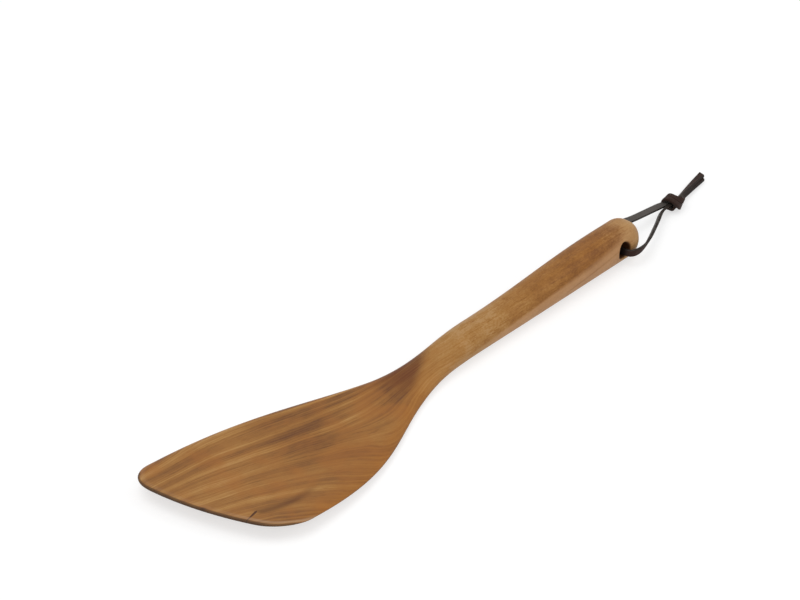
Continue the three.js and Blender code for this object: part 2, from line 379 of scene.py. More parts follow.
def growth_depth(tree, x, y, z):
    """How deep in the growth layers a point lies, in millimetres. On the blade the layers' edges
    run back from the front, bend towards the short side and climb to the neck. They are straight
    along the grip."""
    along = maths(tree, "DIVIDE", minus(tree, x, LINES_MIDDLE_X), LINES_UNIT_ALONG)
    along = maths(tree, "SMOOTH_MIN", along, 1.2, 0.2)
    across = maths(tree, "DIVIDE", y, LINES_UNIT_ACROSS)
    climb, spread, bend = (
        horner(tree, along, line) for line in (LINES_CLIMB, LINES_SPREAD, LINES_BEND)
    )
    layers = horner(tree, across, [climb, spread, bend, LINES_TWIST])
    # The logarithm evens out the distance from one layer to the next over the blade
    crowding = maths(tree, "MAXIMUM", linear(tree, layers, -LINES_CROWDING, 1.15), 0.25)
    even = maths(tree, "LOGARITHM", crowding, math.e)
    even = product(tree, even, -LINES_UNIT_ACROSS / LINES_CROWDING)
    return linear(tree, z, LINES_BY_HEIGHT, even)


def along_layers(tree, x, y, depth, kind):
    """Noise drawn out along the growth layers."""
    across_scale, along_scale, shift, detail, roughness = kind
    across = linear(tree, depth, across_scale, shift)
    lengthwise = product(tree, x, along_scale)
    sideways = product(tree, y, 0.5 * along_scale)
    return noise(tree, combine(tree, across, lengthwise, sideways), 1.0, detail, roughness)


def wood_grain(tree):
    place = object_millimetres(tree)
    x, y, z = axes(tree, place)
    wander = noise(tree, times(tree, place, (0.02, 0.06, 0.06)), 1.0)
    depth = linear(tree, wander, 5.0, growth_depth(tree, x, y, z))
    stretch, *scales = MOTTLE_TONE
    from_short_edge = minus(tree, y, bowed_line(tree, x, *SHORT_EDGE_LINE))
    flank_line = horner(tree, minus(tree, x, FLANK_MIDDLE_X), FLANK_HEIGHT)
    return Grain(
        place, x, y, z, depth,
        streak=along_layers(tree, x, y, depth, STREAK_NOISE),
        mottle=uneven_tone(tree, times(tree, place, stretch), *scales),
        on_grip=remap(tree, x, -10.0, 25.0),
        by_short_edge=product(
            tree, remap(tree, from_short_edge, 11.0, 3.0), remap(tree, x, -122.0, -104.0)
        ),
        over_flank=minus(tree, z, flank_line),
    )


def layer_lines(tree, grain):
    """Growth layers: a soft dark line beside a bright one, which slowly darkens to the next, and
    weaker ones twice as close. Each comes with its strength."""
    x, y, depth = grain.x, grain.y, grain.depth
    spacing = along_layers(tree, x, y, depth, SPACING_NOISE)
    count = linear(tree, depth, 1 / GROWTH_LAYER, FIRST_LAYER)
    count = linear(tree, spacing, 0.6, count)
    half_count = linear(tree, count, 2.0, 0.37)
    stops = [(at, (tone, tone, tone)) for at, tone in LAYER_TONES]
    layer, half_layer = (
        ramp(tree, maths(tree, "FRACT", n), stops, "EASE") for n in (count, half_count)
    )

    layer_number = maths(tree, "FLOOR", count)
    own = add(tree, "ShaderNodeTexWhiteNoise", {"W": layer_number}, noise_dimensions="1D")
    fading = along_layers(tree, x, y, depth, FADING_NOISE)
    strength = product(
        tree,
        remap(tree, own.outputs["Value"], 0.0, 1.0, 0.75, 1.25),
        remap(tree, fading, 0.3, 0.65, 0.7, 1.2),
        remap(tree, x, 25.0, -30.0, 0.2, 1.0),
        linear(tree, grain.by_short_edge, -0.6, 1.0),
    )
    on_shoulder = product(
        tree,
        remap(tree, x, -80.0, -45.0),
        remap(tree, x, 0.0, -20.0),
        remap(tree, y, -12.0, 2.0),
    )
    half_share = linear(tree, on_shoulder, 0.7, 0.3)
    layer_share = linear(tree, on_shoulder, -0.3, 1.0)
    half_strength = product(tree, half_share, strength)
    return (layer, product(tree, strength, layer_share)), (half_layer, half_strength)


def wood_tone(tree, grain, lines, pores):
    """How bright the wood is, by its lines, streaks and mottle and by its place on the turner."""
    x, y, on_grip = grain.x, grain.y, grain.on_grip

    def by_grip(amount, change):
        return linear(tree, on_grip, change, amount)

    stretch, *scales = DRIFT_TONE
    tone = WOOD_TONE
    for swing, amount in [
        *lines,
        (along_layers(tree, x, y, grain.depth, BANDS_NOISE), 0.5),
        (grain.streak, by_grip(0.9, -0.25)),
        (along_layers(tree, x, y, grain.depth, FINE_STREAK_NOISE), by_grip(0.45, -0.3)),
        (uneven_tone(tree, times(tree, grain.place, stretch), *scales), 0.6),
        (grain.mottle, by_grip(0.3, 1.5)),
    ]:
        tone = swung(tree, tone, swing, amount)

    at_front = product(tree, remap(tree, x, -105.0, -132.0), remap(tree, y, 22.0, 4.0))
    at_back = product(
        tree,
        remap(tree, x, -108.0, -75.0),
        remap(tree, x, -12.0, -32.0),
        remap(tree, y, -18.0, -2.0),
    )
    at_shoulder = product(tree, bell(tree, x, -50.0, 18.0), bell(tree, y, -2.0, 10.0))
    at_neck = bell(tree, x, -4.0, 16.0)
    along_grip = remap(tree, x, 30.0, 105.0)
    # Painted light on the rounded end, which also has paler end grain
    lit_and_dry_end = bell(tree, x, 152.0, 18.0)
    flank_line = product(
        tree,
        bell(tree, grain.over_flank, 0.0, 1.0),
        remap(tree, x, 10.0, 25.0),
        remap(tree, x, 45.0, 110.0, 1.0, 0.15),
    )
    over_line = product(
        tree,
        bell(tree, grain.over_flank, 1.8, 2.4),
        remap(tree, x, 15.0, 30.0),
        remap(tree, x, 80.0, 50.0),
    )
    for where, amount in [
        (pores, by_grip(-0.14, -0.22)),
        (at_front, 0.07),
        (at_back, -0.25),
        (at_shoulder, 0.36),
        (on_grip, 0.34),
        (at_neck, 0.18),
        (along_grip, -0.6),
        (flank_line, -0.17),
        (over_line, -0.13),
        (lit_and_dry_end, 0.45),
    ]:
        tone = linear(tree, where, amount, tone)
    return tone


def tinted(tree, grain, colour):
    """Warmer patches, most on the blade, a grip that is less red, and a warm short edge."""
    x = grain.x
    warm = product(
        tree,
        remap(tree, noise(tree, grain.place, 0.06), 0.42, 0.68, 0.0, 0.5),
        linear(tree, grain.on_grip, -0.75, 1.0),
    )
    colour = mix(tree, warm, colour, WARM_WOOD)
    less_red = product(tree, remap(tree, x, -25.0, 10.0), remap(tree, x, 30.0, 110.0, 1.0, 0.45))
    colour = mix(tree, less_red, colour, GRIP_TINT, "MULTIPLY")
    return mix(tree, product(tree, grain.by_short_edge, 0.35), colour, SHORT_EDGE_WOOD)


def paler_grip(tree, grain, colour):
    """Painted bounce light low on the grip's sides, where light from the floor falls, with a thin
    darker line in it; a paler rounded end, partly drier end grain and partly painted light, most on
    the near side, which fades out along the streaks; and painted shade at the very tip."""
    x = grain.x
    pale_below = remap(tree, x, 70.0, 112.0, -2.1, -4.5)
    thin_line = product(tree, bell(tree, grain.over_flank, -6.3, 0.5), remap(tree, x, 80.0, 95.0))
    # Painted bounce light from the floor, low on the grip's sides
    pale = product(
        tree,
        remap(tree, grain.over_flank, -0.4, pale_below),
        product(tree, remap(tree, x, 20.0, 45.0), remap(tree, x, 142.0, 126.0)),
        linear(tree, thin_line, -0.35, 0.85),
    )
    colour = mix(tree, pale, colour, mix(tree, grain.mottle, *FLANK_PAINTED_LIGHT))

    towards_end = swung(tree, swung(tree, x, grain.mottle, 36.0), grain.streak, 24.0)
    # Paler rounded end: partly drier end grain, partly painted light, stronger on the near side
    # where the light falls
    dry_and_lit = product(
        tree,
        remap(tree, towards_end, 122.0, 150.0, 0.0, 0.72),
        remap(tree, grain.y, 8.0, -3.0, 0.45, 1.0),
    )
    colour = mix(tree, dry_and_lit, colour, DRY_AND_LIT_END)
    # Painted shade at the very tip of the rounded end
    return mix(tree, remap(tree, x, 143.0, 149.5, 0.0, 0.45), colour, TIP_SHADE)


def dark_heart(tree, grain, colour):
    """The dark heart of the neck, drawn out towards the blade."""
    x, y = grain.x, grain.y
    by_grip, by_blade = (past_line(tree, x, y, line) for line in (HEART_BY_GRIP, HEART_BY_BLADE))
    inside = maths(tree, "SMOOTH_MAX", by_grip, by_blade, 2.0)
    heart = product(
        tree,
        remap(tree, swung(tree, inside, grain.streak, 5.0), -3.5, 2.5),
        remap(tree, x, -36.0, -14.0),
        remap(tree, swung(tree, x, grain.mottle, 24.0), 9.0, -7.0),
        remap(tree, y, -9.0, 0.0),
        remap(tree, grain.z, 1.5, 4.0),
        remap(tree, grain.streak, 0.3, 0.65, 0.6, 1.0),
        0.9,
    )
    return mix(tree, heart, colour, HEART_WOOD)


def smoke_and_split(tree, grain, colour):
    """A smoky streak behind a short split in the front edge. Also says where the split is."""
    x, y = grain.x, grain.y
    off_smoke = minus(tree, y, bowed_line(tree, x, *SMOKE_LINE))
    smoke = product(
        tree,
        bell(tree, off_smoke, 0.0, 2.0),
        product(tree, remap(tree, x, -131.0, -127.0), remap(tree, x, -92.0, -116.0)),
        remap(tree, grain.streak, 0.25, 0.7, 0.5, 1.0),
        0.9,
    )
    colour = mix(tree, smoke, colour, SMOKE_WOOD)
    split_line = horner(tree, minus(tree, x, SPLIT_FRONT_X), SPLIT_LINE)
    split_width = product(
        tree,
        remap(tree, x, SPLIT_FRONT_X, -130.0, 0.24, 0.55),
        remap(tree, x, -127.6, -129.2),
    )
    split_off = maths(tree, "ABSOLUTE", minus(tree, y, split_line))
    split = maths(tree, "LESS_THAN", split_off, split_width)
    return mix(tree, product(tree, split, 0.95), colour, SPLIT_WOOD), split


def painted_edge_light_and_shade(tree, grain, colour):
    """A painted highlight just behind the front edge, where its rounding catches the light, most at
    its short corner, and a pin knot in it. Painted shade on the blade's rim, most of all at the
    front, whose face also has darker end grain, and in the hole's bore."""
    from_front = stored_value(tree, "from_front")
    # Painted highlight where the rounded front edge catches the light
    edge_highlight = product(
        tree,
        bell(tree, from_front, 2.0, 1.0),
        remap(tree, grain.streak, 0.3, 0.6, 0.6, 1.0),
        remap(tree, grain.y, -8.0, -26.0, 0.15, 0.6),
    )
    colour = mix(tree, edge_highlight, colour, EDGE_HIGHLIGHT)
    pin_knot = product(
        tree, bell(tree, from_front, 0.3, 0.9), bell(tree, grain.y, -2.3, 1.2), 0.9
    )
    colour = mix(tree, pin_knot, colour, PIN_KNOT_WOOD)

    # Painted shade where the blade's surface turns away from the top, and on its front face, which
    # also has darker end grain
    rim_shade = maths(
        tree,
        "MAXIMUM",
        remap(tree, stored_value(tree, "rim"), 0.12, 0.6, 0.0, 0.9),
        remap(tree, from_front, 1.2, 0.5, 0.0, 0.75),
    )
    colour = mix(tree, rim_shade, colour, RIM_SHADE_WOOD)
    # Painted shade in the hole's bore
    hole_x = minus(tree, grain.x, HOLE_X)
    hole_z = minus(tree, grain.z, HOLE_HEIGHT)
    squared = linear(tree, hole_x, hole_x, product(tree, hole_z, hole_z))
    bore = remap(tree, maths(tree, "SQRT", squared), HOLE_RADIUS + 0.9, HOLE_RADIUS)
    return mix(tree, product(tree, bore, 0.95), colour, BORE_SHADE_WOOD)


def oiled_wood():
    """Flat-sawn golden brown wood: soft growth lines, streaks along them and a dark heart in the
    neck."""
    material, tree, shader = new_material("oiled_wood")
    grain = wood_grain(tree)
    lines = layer_lines(tree, grain)
    pores = along_layers(tree, grain.x, grain.y, grain.depth, PORE_NOISE)
    pores = remap(tree, pores, 0.54, 0.72)

    colour = ramp(tree, wood_tone(tree, grain, lines, pores), WOOD_COLOURS)
    colour = tinted(tree, grain, colour)
    colour = paler_grip(tree, grain, colour)
    colour = dark_heart(tree, grain, colour)
    colour, split = smoke_and_split(tree, grain, colour)
    colour = painted_edge_light_and_shade(tree, grain, colour)

    layer = lines[0][0]
    rough = linear(tree, layer, 0.1, swung(tree, WOOD_ROUGHNESS, grain.streak, 0.2))
    height = linear(tree, pores, -0.6, product(tree, grain.streak, 0.5))
    height = linear(tree, split, -4.0, height)
    finish(tree, shader, colour, rough, WOOD_GLOSS, height, *WOOD_RELIEF)
    return material


# Lace leather

FLESH_COLOURS = [
    (0.2, (0.019, 0.0085, 0.0060)),
    (0.5, (0.034, 0.0175, 0.0130)),
    (0.8, (0.052, 0.0290, 0.0230)),
]
GRAIN_COLOURS = ((0.054, 0.048, 0.044), (0.116, 0.104, 0.095))
CUT_COLOURS = ((0.024, 0.0180, 0.0150), (0.085, 0.074, 0.062))
HOLE_SHADE = (0.004, 0.0025, 0.002)
LEATHER_TONE = (0.22, 1.6, 0.45)  # scales of drift and mottle, and the mottle's share
FIBRES_ALONG = 150.0
FIBRES_ACROSS = 2400.0
GRAIN_SCALE = 2.6
LEATHER_GLOSS = 0.08
LEATHER_ROUGHNESS = 0.5
LEATHER_RELIEF = (0.5, 0.12)  # strength and depth


def lace_leather():
    """Dark oiled leather: a greyish grain side, a brown flesh side, and dark cut edges with paler
    fibres. It darkens into the hole."""
    material, tree, shader = new_material("lace_leather")
    place = object_millimetres(tree)
    section = axes(tree, stored_value(tree, "section", "Vector"))
    across = section["X"]
    thickness = LACE_THICKNESS * MM
    grain_side = remap(tree, section["Y"], 0.3 * thickness, 0.45 * thickness)
    half = 0.5 * LACE_WIDTH * MM
    edge = remap(tree, maths(tree, "ABSOLUTE", across), half - 0.3 * MM, half - 0.05 * MM)

    tone = uneven_tone(tree, place, *LEATHER_TONE)
    fibre_run = product(tree, stored_value(tree, "along"), FIBRES_ALONG)
    fibre_side = product(tree, across, FIBRES_ACROSS)
    fibres = noise(tree, combine(tree, fibre_run, fibre_side, 0.0), 1.0, 3.0, 0.65)
    cells = {"Vector": place, "Scale": GRAIN_SCALE, "Randomness": 1.0}
    grain = add(tree, "ShaderNodeTexVoronoi", cells, feature="F1").outputs["Distance"]

    colour = ramp(tree, tone, FLESH_COLOURS)
    colour = mix(tree, grain_side, colour, mix(tree, tone, *GRAIN_COLOURS))
    paler = remap(tree, fibres, 0.45, 0.75)
    colour = mix(tree, edge, colour, mix(tree, paler, *CUT_COLOURS))
    place_axes = axes(tree, place)
    from_hole = minus(tree, place_axes["X"], HOLE_X)
    aside = maths(tree, "ABSOLUTE", place_axes["Y"])
    in_hole = product(
        tree,
        remap(tree, aside, GRIP_WIDTH / 2 + 1.2, GRIP_WIDTH / 2 - 1.6),
        remap(tree, from_hole, 5.0, 3.0),
        0.8,
    )
    colour = mix(tree, in_hole, colour, HOLE_SHADE)
    rough = linear(tree, fibres, 0.2, LEATHER_ROUGHNESS)
    height = linear(tree, fibres, 0.8, grain)
    finish(tree, shader, colour, rough, LEATHER_GLOSS, height, *LEATHER_RELIEF)
    return material


WOOD = oiled_wood()
LEATHER = lace_leather()


# Wooden body


def bezier(t, first, second, third, fourth):
    s = 1 - t
    return s**3 * first + 3 * s * s * t * second + 3 * s * t * t * third + t**3 * fourth


def smooth_step(start, first, end, last, ease_start, ease_end):
    """A curve from one value to another, level at both ends."""
    t = np.linspace(0, 1, CURVE_STEPS)
    along = bezier(t, start, start + ease_start, end - ease_end, end)
    value = bezier(t, first, first, last, last)
    return lambda distance: np.interp(distance, along, value)


def even_step(start, first, end, last):
    ease = EVEN_EASE * (end - start)
    return smooth_step(start, first, end, last, ease, ease)


grip_half_width = even_step(GRIP_FULL_FROM_END, GRIP_WIDTH / 2, NECK, NECK_WIDTH / 2)
blade_half_width = smooth_step(
    NECK, NECK_WIDTH / 2, WIDEST, BLADE_WIDTH / 2, SHOULDER_EASE_AT_NECK, SHOULDER_EASE_AT_BLADE
)
grip_half_height = even_step(GRIP_FULL_FROM_END, GRIP_HEIGHT / 2, SLOPE_START, NECK_HEIGHT / 2)
slope_half_height = even_step(SLOPE_START, NECK_HEIGHT / 2, SLOPE_END, BLADE_THICKNESS / 2)
blade_share = even_step(SLOPE_START, 0.0, SLOPE_END, 1.0)


def quarter_round(depth, length):
    share = np.clip(1 - depth / length, 0, 1)
    return np.sqrt(1 - share * share)


def sections(distance):
    """The sizes of the sections at these distances from the rounded end."""
    dome = quarter_round(distance, END_ROUND)
    corner = quarter_round(REACH - distance, CORNER_RADIUS)
    nose = quarter_round(REACH - distance, NOSE_ROUND)
    thinning = np.clip((distance - SLOPE_END) / (REACH - SLOPE_END), 0, 1)
    full_width = np.where(distance < NECK, grip_half_width(distance), blade_half_width(distance))
    full_height = np.where(
        distance < SLOPE_START, grip_half_height(distance), slope_half_height(distance)
    )
    height = full_height + thinning * (FRONT_THICKNESS - BLADE_THICKNESS) / 2
    grip_edge = full_width - GRIP_FLAT / 2
    edge = grip_edge + (EDGE_ROUND - grip_edge) * blade_share(distance)
    past = np.maximum(0, distance - HEEL) / (REACH - HEEL)
    share = np.clip(distance / REACH, 0, 1)
    slant_share = share * share * (3 - 2 * share)
    return {
        "half_width": full_width * dome - CORNER_RADIUS * (1 - corner),
        "half_height": height * dome - NOSE_ROUND * (1 - nose),
        "edge": edge * dome,
        "middle": height + FRONT_LIFT * past**2,
        "slant": math.tan(FRONT_SLANT) * slant_share,
        "bow": slant_share / (2 * FRONT_EDGE_RADIUS),
    }


def body_points(distance, across, up):
    """Points of the body from their distances along it and their places in its sections."""
    s = sections(distance)
    x = TIP_X - (distance + s["slant"] * across - s["bow"] * across**2)
    return np.stack(np.broadcast_arrays(x, across, s["middle"] + up), axis=-1)


def side_width(distance, up):
    """How far the body's side is from its middle plane, at a height over the section's middle."""
    s = sections(distance)
    share = np.clip(up / s["half_height"], -1, 1)
    return s["half_width"] - s["edge"] * (1 - np.sqrt(1 - share * share))


def station_distances():
    """Where the sections of the mesh lie, from the rounded end."""
    past_hole = HOLE_FROM_END + HOLE_WINDOW
    corner_start = REACH - CORNER_RADIUS

    def stretch(start, end, step):
        return np.linspace(start, end, round((end - start) / step) + 1)[1:]

    dome_turn = np.linspace(0, math.pi / 2, DOME_STEPS + 1)[1:]
    corner_turn = np.linspace(0, math.pi / 2, CORNER_STEPS + 1)[1:]
    return np.concatenate([
        END_ROUND * (1 - np.cos(dome_turn)),
        stretch(END_ROUND, past_hole, HOLE_STEP),
        stretch(past_hole, corner_start, STATION_STEP),
        corner_start + CORNER_RADIUS * np.sin(corner_turn),
    ])


HALF_RING = 2 * EDGE_STEPS + FLAT_STEPS
RING = 2 * HALF_RING


def section_rings(distance):
    """Across and up of each section's outline: from the short side over the top and back
    underneath."""
    s = {name: value[:, None] for name, value in sections(distance).items()}
    i = np.arange(HALF_RING + 1)
    on_short_edge = np.minimum(i, EDGE_STEPS)
    on_long_edge = np.maximum(0, i - EDGE_STEPS - FLAT_STEPS)
    on_flat = i - on_short_edge - on_long_edge
    angle = (math.pi / 2) * (on_short_edge + on_long_edge) / EDGE_STEPS
    flat = s["half_width"] - s["edge"]
    across = -s["edge"] * np.cos(angle) + flat * (2 * on_flat / FLAT_STEPS - 1)
    up = s["half_height"] * np.sin(angle)
    return np.hstack([across, across[:, -2:0:-1]]), np.hstack([up, -up[:, -2:0:-1]])


def mouth_profile(angle):
    """Radius and depth of a mouth's rounding at angles round the hole, from its rim to its bore."""

    def wall(radius):
        return side_width(HOLE_FROM_END + radius * np.cos(angle), radius * np.sin(angle))

    nudge = 0.05
    slope = (wall(MOUTH_RIM + nudge) - wall(MOUTH_RIM - nudge)) / (2 * nudge)
    side = wall(MOUTH_RIM)
    t = np.linspace(0, 1, MOUTH_STEPS + 1)[:, None]
    radius = bezier(t, MOUTH_RIM, MOUTH_RIM - MOUTH_LEAD, HOLE_RADIUS, HOLE_RADIUS)
    leaving = side - slope * MOUTH_LEAD
    depth = bezier(t, side, leaving, side - MOUTH_ROUND + MOUTH_LEAD, side - MOUTH_ROUND)
    return radius, depth


class Shell:
    """Points and faces of a mesh that is put together from rows of points."""

    def __init__(self):
        self.points = []
        self.faces = []

    def row(self, points):
        first = len(self.points)
        self.points.extend(points.tolist())
        return list(range(first, len(self.points)))

    def band(self, first, second, gaps=()):
        """Faces between two closed rows of as many points, apart from those in the gaps."""
        count = len(first)
        for i in range(count):
            if i not in gaps:
                j = (i + 1) % count
                self.faces.append((first[i], first[j], second[j], second[i]))


def add_hole_mouth(shell, rings, stations, first, last, side, bore_middle):
    """The stretch of one side around the hole: from the grid's edge in to the rim, the mouth and
    the bore, which runs straight to the middle plane, where both sides meet."""
    reach = HOLE_WINDOW_EDGE_STEPS
    across_steps = list(range(-reach, reach + 1))
    along_steps = list(range(first, last + 1))
    loop = [(first, k) for k in across_steps]
    loop += [(r, reach) for r in along_steps[1:]]
    loop += [(last, k) for k in across_steps[-2::-1]]
    loop += [(r, -reach) for r in along_steps[-2:0:-1]]

    def ring_place(k):
        return k % RING if side < 0 else (HALF_RING - k) % RING

    rows = [[rings[r][ring_place(k)] for r, k in loop]]
    distance = stations[[r for r, k in loop]]
    turn = (math.pi / 2) * np.array([k for r, k in loop]) / EDGE_STEPS
    up = sections(distance)["half_height"] * np.sin(turn)
    angle = np.arctan2(up, distance - HOLE_FROM_END)
    rim_distance = HOLE_FROM_END + MOUTH_RIM * np.cos(angle)
    rim_up = MOUTH_RIM * np.sin(angle)
    for ring in range(1, PATCH_RINGS):
        share = ring / PATCH_RINGS
        d = distance + (rim_distance - distance) * share
        u = up + (rim_up - up) * share
        rows.append(shell.row(body_points(d, side * side_width(d, u), u)))

    def circle(radius, y):
        d = HOLE_FROM_END + radius * np.cos(angle)
        return shell.row(body_points(d, side * y, radius * np.sin(angle)))

    radius, depth = mouth_profile(angle)
    rows += [circle(r, y) for r, y in zip(radius, depth)]
    for step in range(1, BORE_STEPS):
        rows.append(circle(HOLE_RADIUS, depth[-1] * (1 - step / BORE_STEPS)))
    if bore_middle is None:
        bore_middle = circle(HOLE_RADIUS, 0 * angle)
    rows.append(bore_middle)
    for outer, inner in zip(rows, rows[1:]):
        shell.band(outer, inner)
    return bore_middle


# Painted shade on the blade's rim, where its surface turns from the top
RIM_START_X = -25.0
RIM_GROWTH = 30.0  # the rim's painted shade grows to its full strength over this length
RIM_LEAST = 0.3  # its share where the blade's surface turns to the short side
RIM_LONG_SIDE = 0.9
CORNER_END = 5.0  # from this far behind the front, the corners count as sides
SIDE_GROWTH = 0.3  # what each millimetre along a side then adds to the distance from the front


def vectors_of(items, field):
    values = np.empty(3 * len(items), np.float32)
    items.foreach_get(field, values)
    return values.reshape(-1, 3)


def store(mesh, name, values):
    """Keeps a number or a vector with each point of a mesh."""
    kind, field = ("FLOAT", "value") if values.ndim == 1 else ("FLOAT_VECTOR", "vector")
    layer = mesh.attributes.new(name, kind, "POINT")
    layer.data.foreach_set(field, values.astype(np.float32).ravel())


def store_rim(mesh):
    """Keeps two numbers with each point: how far the blade's surface turns outwards there, least on
    the short side, which sets the wood's painted shade on the rim, and the millimetres from the
    front edge and its round corners, with more where the corners turn to the sides."""
    normals = vectors_of(mesh.vertex_normals, "vector")
    places = vectors_of(mesh.vertices, "co")
    x, y = places[:, 0] / MM, places[:, 1] / MM
    on_blade = np.clip((RIM_START_X - x) / RIM_GROWTH, 0, 1)
    to_front = np.clip(-normals[:, 0], 0, 1)
    to_long_side = np.clip(RIM_LONG_SIDE * normals[:, 1], 0, 1)
    share = RIM_LEAST + (1 - RIM_LEAST) * np.maximum(to_front, to_long_side)
    store(mesh, "rim", (1 - np.abs(normals[:, 2])) * share * on_blade)

    ahead = x + REACH - TIP_X + math.tan(FRONT_SLANT) * y - y**2 / (2 * FRONT_EDGE_RADIUS)
    aside = BLADE_WIDTH / 2 - np.abs(y)
    past_start = [np.maximum(0, CORNER_RADIUS - inwards) for inwards in (ahead, aside)]
    from_front = CORNER_RADIUS - np.hypot(*past_start)
    store(mesh, "from_front", from_front + SIDE_GROWTH * np.maximum(0, ahead - CORNER_END))


def wooden_body_mesh():
    stations = station_distances()
    across, up = section_rings(stations)
    grid = body_points(stations[:, None], across, up)
    shell = Shell()
    rings = [shell.row(row) for row in grid]

    first = int(np.argmin(np.abs(stations - (HOLE_FROM_END - HOLE_WINDOW))))
    last = int(np.argmin(np.abs(stations - (HOLE_FROM_END + HOLE_WINDOW))))
    reach = HOLE_WINDOW_EDGE_STEPS
    window = {k % RING for k in range(-reach, reach)}
    window |= set(range(HALF_RING - reach, HALF_RING + reach))
    for r in range(len(rings) - 1):
        shell.band(rings[r], rings[r + 1], window if first <= r < last else ())

    tip = shell.row(np.array([[TIP_X, 0.0, HOLE_HEIGHT]]))[0]
    for i in range(RING):
        shell.faces.append((tip, rings[0][(i + 1) % RING], rings[0][i]))
    front = rings[-1]
    for i in range(HALF_RING):
        corners = [front[i], front[i + 1], front[(RING - i - 1) % RING], front[(RING - i) % RING]]
        shell.faces.append(tuple(dict.fromkeys(corners)))

    bore_middle = add_hole_mouth(shell, rings, stations, first, last, -1, None)
    add_hole_mouth(shell, rings, stations, first, last, 1, bore_middle)

    mesh = bpy.data.meshes.new("turner_body")
    mesh.from_pydata((np.array(shell.points) * MM).tolist(), [], shell.faces)
    clean = bmesh.new()
    clean.from_mesh(mesh)
    loose = [v for v in clean.verts if not v.link_faces]
    bmesh.ops.delete(clean, geom=loose, context="VERTS")
    bmesh.ops.recalc_face_normals(clean, faces=clean.faces)
    clean.to_mesh(mesh)
    clean.free()
    mesh.shade_smooth()
    mesh.materials.append(WOOD)
    store_rim(mesh)
    return mesh


# Leather lace. Routes are [along the grip, across, up] from the middle of the hole, as in the CAD,
# and each is followed by how far the lace's width leans from upright, in degrees, at shares of it.

HOLE_MIDDLE = np.array([HOLE_X, 0.0, HOLE_HEIGHT])

SHORT_SIDE_ROUTE = [
    (1.3, -0.15, -1.5), (1.3, -5, -1.5), (1.5, -8.8, -1.5), (2.5, -10.8, -1.8), (4.5, -11.9, -2),
    (7.4, -12.3, -2.2), (11.2, -12, -2.4), (15.3, -11, -2.6), (19.8, -9.4, -2.9),
    (26.2, -6.7, -3.3), (38.5, -1.1, -4.1), (49.2, 3.9, -4.8), (55.5, 5.4, -5.2), (62, 5.8, -5.5),
]
SHORT_SIDE_LEAN = [(0, 0), (0.18, 0), (0.3, 22), (0.45, 29), (0.8, 29), (1, 42)]
LONG_SIDE_ROUTE = [
    (1.3, 0.15, -1.5), (1.3, 5, -1.5), (1.5, 8.8, -1.5), (2.5, 10.8, -1.5), (4.8, 12.2, -1.6),
    (9, 12.8, -1.7), (14, 12.3, -1.6), (20, 10.7, -1.6), (28, 8.6, -1.8), (36, 8, -2.4),
    (44, 7.9, -3.2), (52, 7.9, -4.2), (57, 7.8, -4.8), (62, 7.9, -5.1),
]
LONG_SIDE_LEAN = [(0, 0), (0.18, 0), (0.4, 107), (0.85, 107), (1, 80)]
LONG_TAIL_ROUTE = [
    (64, 6.3, -5.35), (70, 7.6, -6), (78.4, 9.7, -6.7),
    (84.9, 11.1, -6.85), (91, 12.2, -6.85), (98.6, 13.6, -6.85),
]
SHORT_TAIL_ROUTE = [
    (64, 5.3, -6.85), (70, 6.55, -7.5), (78.4, 8.65, -8.2),
    (84.9, 10.05, -8.35), (91, 11.15, -8.35), (97, 12.25, -8.35),
]
TAIL_LEAN = [(0, 222), (0.3, 224), (0.6, 240), (1, 266)]
TAIL_CLOSING = 0.15  # of each tail towards the other: the CAD keeps a gap between them
TAIL_WIDTH = 3.8
TAIL_THICKNESS = 1.6
LONG_TAIL_SLANT = 0.55  # of its cut end, as lengthwise by crosswise
SHORT_TAIL_SLANT = 0.45
CUT_STRETCH = 4.0  # the slant of a cut end begins this far from it

# The knot, from its middle: [along it, across, up] for the middle of the two laces, from where they
# turn back out of its core, up the near side and over the top, round underneath and out through the
# turn
KNOT_MIDDLE = np.array([62.7, 6.4, -5.5])
KNOT_HEADING = math.radians(12)
KNOT_ROUTE = [
    (1.5, 0.5, -0.2), (3.6, -0.2, -0.7), (4.4, -2, -1.15), (3, -3.6, -1.25), (0.6, -4, -0.1),
    (-1.7, -3.5, 1.8), (-3.1, -1.9, 3.5), (-3.4, 0.5, 4.3), (-2.8, 2.9, 3.4), (-2.2, 4, 0.6),
    (-1.4, 2.9, -1.6), (-1.2, 0.4, -2.2), (-1.5, -1.9, -1.8), (-1.4, -2.5, -0.4), (0, -2.1, 0.6),
    (2, -1.2, 1.1), (3.9, -0.4, 1.2),
]
KNOT_SPREAD = 1.65  # of each lace from the middle of the two
KNOT_LACE_WIDTH = 3.1
KNOT_EASING = 30  # rounds of evening out the way the knot's broad faces look

# A lace's middle line, with its headings, the way its broad face looks, and the lengths along it
Run = namedtuple("Run", "centres heading face along")


def centripetal(points, per_span=40):
    """A smooth curve through the points, the one that the CAD draws."""
    p = np.array(points, float)
    p = np.vstack([2 * p[0] - p[1], p, 2 * p[-1] - p[-2]])
    curve = []
    for a, b, c, d in zip(p, p[1:], p[2:], p[3:]):
        gaps = [np.linalg.norm(q - o) ** 0.5 for o, q in ((a, b), (b, c), (c, d))]
        leave = (b - a) / gaps[0] - (c - a) / (gaps[0] + gaps[1]) + (c - b) / gaps[1]
        arrive = (c - b) / gaps[1] - (d - b) / (gaps[1] + gaps[2]) + (d - c) / gaps[2]
        t = np.linspace(0, 1, per_span, endpoint=False)[:, None]
        curve.append(bezier(t, b, b + leave * gaps[1] / 3, c - arrive * gaps[1] / 3, c))
    return np.vstack([*curve, p[-2:-1]])


def lengths_along(points):
    return np.concatenate([[0], np.cumsum(np.linalg.norm(np.diff(points, axis=0), axis=1))])


